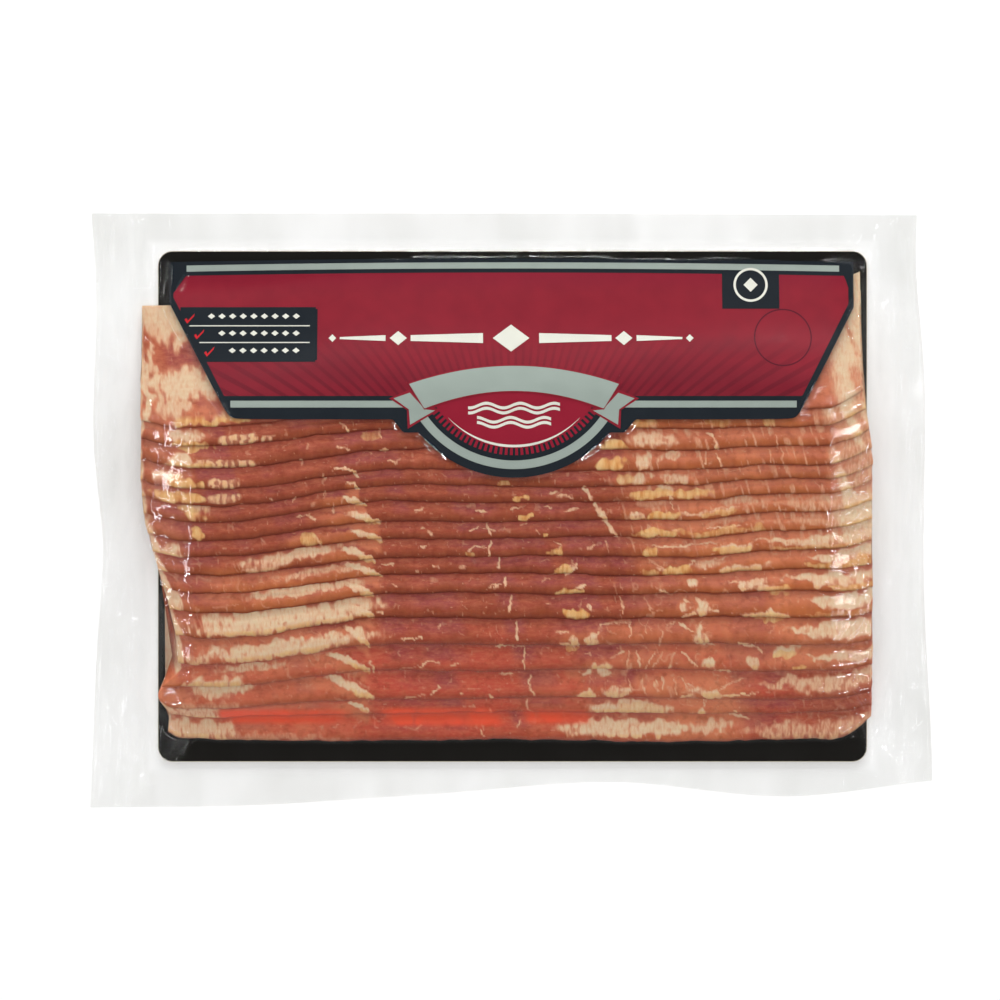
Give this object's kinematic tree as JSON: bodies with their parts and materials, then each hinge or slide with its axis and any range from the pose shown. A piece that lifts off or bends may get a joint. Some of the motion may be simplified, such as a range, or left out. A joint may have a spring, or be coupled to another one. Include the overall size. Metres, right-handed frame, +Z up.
{
  "type": "bacon pack",
  "caption": "Flat clear vacuum pouch with shingled bacon slices on a black board, under a curved printed card with a round medallion.",
  "frame": {"origin": "centre of the pack's underside, in the middle of its bounding box", "axes": "+X along the slices, to the right of the print; +Y towards the card's straight edge; +Z up, out of the shown side"},
  "size_m": [0.286, 0.202, 0.0195],
  "materials": {
    "film": "clear soft film with a high gloss and fine wrinkles",
    "board": "glossy black laminate with a pale cut edge",
    "bacon": "moist cured pork, rosy lean and cream fat with a brown smoked edge",
    "card": "coated printed card, crimson with silver and navy bands"
  },
  "bodies": {
    "root": {"film_pouch": "film", "backing_board": "board", "bacon_slice_01": "bacon", "bacon_slice_02": "bacon", "bacon_slice_03": "bacon", "bacon_slice_04": "bacon", "bacon_slice_05": "bacon", "bacon_slice_06": "bacon", "bacon_slice_07": "bacon", "bacon_slice_08": "bacon", "bacon_slice_09": "bacon", "bacon_slice_10": "bacon", "bacon_slice_11": "bacon", "bacon_slice_12": "bacon", "bacon_slice_13": "bacon", "bacon_slice_14": "bacon", "bacon_slice_15": "bacon", "bacon_slice_16": "bacon", "bacon_slice_17": "bacon", "label_card": "card"}
  },
  "joints": []
}
